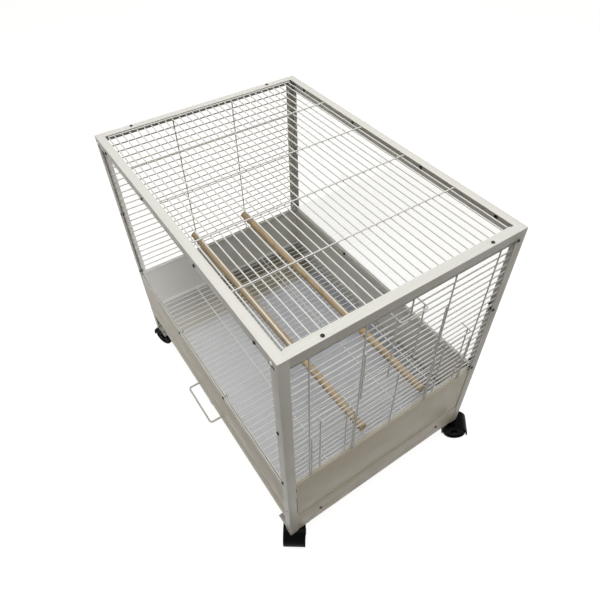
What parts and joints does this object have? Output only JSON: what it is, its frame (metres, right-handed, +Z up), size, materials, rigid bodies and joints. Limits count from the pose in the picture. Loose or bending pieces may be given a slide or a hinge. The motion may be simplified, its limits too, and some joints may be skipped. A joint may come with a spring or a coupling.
{
  "type": "rolling bird cage",
  "caption": "Angle-iron bird cage on twin-wheel casters: wire top and ends, clear front and back, drop-down doors, wooden perches and a slide-out tray with a wire grate.",
  "frame": {"origin": "on the floor, under the middle of the whole cage's bounding box", "axes": "+X to the door end, +Y to the back (the tray slides out towards -Y), +Z up"},
  "size_m": [0.7334, 0.5216, 0.627],
  "materials": {
    "powder_coat": "satin cream powder coat",
    "coated_wire": "satin cream powder coat",
    "clear_sheet": "clear gloss acrylic",
    "tray_coating": "satin pale coat",
    "grey_tab": "dark grey",
    "perch_wood": "plain dowel",
    "black_fasteners": "black zinc",
    "bright_steel": "zinc plated",
    "black_plastic": "moulded black",
    "black_tread": "moulded black"
  },
  "bodies": {
    "frame": {"front_left_post": "powder_coat", "front_right_post": "powder_coat", "back_left_post": "powder_coat", "back_right_post": "powder_coat", "front_top_rail": "powder_coat", "front_panel_channel": "powder_coat", "front_clear_panel": "clear_sheet", "front_panel_screws": "black_fasteners", "front_panel_nuts": "black_fasteners", "back_top_rail": "powder_coat", "back_panel_channel": "powder_coat", "back_clear_panel": "clear_sheet", "back_panel_screws": "black_fasteners", "back_panel_nuts": "black_fasteners", "front_skirt": "powder_coat", "back_skirt": "powder_coat", "left_top_rail": "powder_coat", "left_skirt": "powder_coat", "left_base_rail": "powder_coat", "left_tray_runner": "powder_coat", "right_top_rail": "powder_coat", "right_skirt": "powder_coat", "right_base_rail": "powder_coat", "right_tray_runner": "powder_coat", "top_wire_panel": "coated_wire", "left_wire_panel": "coated_wire", "right_wire_panel": "coated_wire", "front_perch": "perch_wood", "back_perch": "perch_wood", "top_panel_screws": "black_fasteners", "end_panel_screws": "black_fasteners", "runner_screws": "black_fasteners", "runner_nuts": "black_fasteners", "wire_clips": "black_fasteners", "floor_grate": "coated_wire", "caster_plates": "powder_coat", "caster_stems": "bright_steel"},
    "tray": {"tray_pan": "tray_coating", "tray_front": "powder_coat", "tray_pull": "coated_wire", "tray_tab": "grey_tab"},
    "front_feeder_door_body": {"front_feeder_door": "coated_wire"},
    "back_feeder_door_body": {"back_feeder_door": "coated_wire"},
    "upper_door_body": {"upper_door": "coated_wire"},
    "front_left_caster": {"front_left_caster_housing": "black_plastic", "front_left_caster_axle": "bright_steel"},
    "front_left_wheel_a_body": {"front_left_wheel_a": "black_tread"},
    "front_left_wheel_b_body": {"front_left_wheel_b": "black_tread"},
    "front_right_caster": {"front_right_caster_housing": "black_plastic", "front_right_caster_axle": "bright_steel"},
    "front_right_wheel_a_body": {"front_right_wheel_a": "black_tread"},
    "front_right_wheel_b_body": {"front_right_wheel_b": "black_tread"},
    "back_left_caster": {"back_left_caster_housing": "black_plastic", "back_left_caster_axle": "bright_steel"},
    "back_left_wheel_a_body": {"back_left_wheel_a": "black_tread"},
    "back_left_wheel_b_body": {"back_left_wheel_b": "black_tread"},
    "back_right_caster": {"back_right_caster_housing": "black_plastic", "back_right_caster_axle": "bright_steel"},
    "back_right_wheel_a_body": {"back_right_wheel_a": "black_tread"},
    "back_right_wheel_b_body": {"back_right_wheel_b": "black_tread"}
  },
  "joints": [
    {"name": "tray_slide", "type": "slide", "parent": "frame", "child": "tray", "axis": [0, -1, 0], "range_m": [0, 0.4]},
    {"name": "front_feeder_door_hinge", "type": "hinge", "parent": "frame", "child": "front_feeder_door_body", "pos_m": [0.32711, -0.1378, 0.2655], "axis": [0, 1, 0], "range_deg": [0, 100]},
    {"name": "back_feeder_door_hinge", "type": "hinge", "parent": "frame", "child": "back_feeder_door_body", "pos_m": [0.32711, 0.1272, 0.2655], "axis": [0, 1, 0], "range_deg": [0, 100]},
    {"name": "upper_door_hinge", "type": "hinge", "parent": "frame", "child": "upper_door_body", "pos_m": [0.32711, -0.0053, 0.4197], "axis": [0, 1, 0], "range_deg": [0, 100]},
    {"name": "front_left_swivel", "type": "hinge", "parent": "frame", "child": "front_left_caster", "pos_m": [-0.29964, -0.2058, 0.057], "axis": [0, 0, 1], "continuous": true},
    {"name": "front_left_wheel_a_spin", "type": "hinge", "parent": "front_left_caster", "child": "front_left_wheel_a_body", "pos_m": [-0.31844, -0.21264, 0.026], "axis": [0.342, -0.9397, 0], "continuous": true},
    {"name": "front_left_wheel_b_spin", "type": "hinge", "parent": "front_left_caster", "child": "front_left_wheel_b_body", "pos_m": [-0.31844, -0.21264, 0.026], "axis": [0.342, -0.9397, 0], "continuous": true},
    {"name": "front_right_swivel", "type": "hinge", "parent": "frame", "child": "front_right_caster", "pos_m": [0.30436, -0.2058, 0.057], "axis": [0, 0, 1], "continuous": true},
    {"name": "front_right_wheel_a_spin", "type": "hinge", "parent": "front_right_caster", "child": "front_right_wheel_a_body", "pos_m": [0.32054, -0.21756, 0.026], "axis": [0.5878, 0.809, 0], "continuous": true},
    {"name": "front_right_wheel_b_spin", "type": "hinge", "parent": "front_right_caster", "child": "front_right_wheel_b_body", "pos_m": [0.32054, -0.21756, 0.026], "axis": [0.5878, 0.809, 0], "continuous": true},
    {"name": "back_left_swivel", "type": "hinge", "parent": "frame", "child": "back_left_caster", "pos_m": [-0.31364, 0.2092, 0.057], "axis": [0, 0, 1], "continuous": true},
    {"name": "back_left_wheel_a_spin", "type": "hinge", "parent": "back_left_caster", "child": "back_left_wheel_a_body", "pos_m": [-0.33296, 0.21438, 0.026], "axis": [-0.2588, -0.9659, 0], "continuous": true},
    {"name": "back_left_wheel_b_spin", "type": "hinge", "parent": "back_left_caster", "child": "back_left_wheel_b_body", "pos_m": [-0.33296, 0.21438, 0.026], "axis": [-0.2588, -0.9659, 0], "continuous": true},
    {"name": "back_right_swivel", "type": "hinge", "parent": "frame", "child": "back_right_caster", "pos_m": [0.31836, 0.2092, 0.057], "axis": [0, 0, 1], "continuous": true},
    {"name": "back_right_wheel_a_spin", "type": "hinge", "parent": "back_right_caster", "child": "back_right_wheel_a_body", "pos_m": [0.33121, 0.22452, 0.026], "axis": [-0.766, 0.6428, 0], "continuous": true},
    {"name": "back_right_wheel_b_spin", "type": "hinge", "parent": "back_right_caster", "child": "back_right_wheel_b_body", "pos_m": [0.33121, 0.22452, 0.026], "axis": [-0.766, 0.6428, 0], "continuous": true}
  ]
}
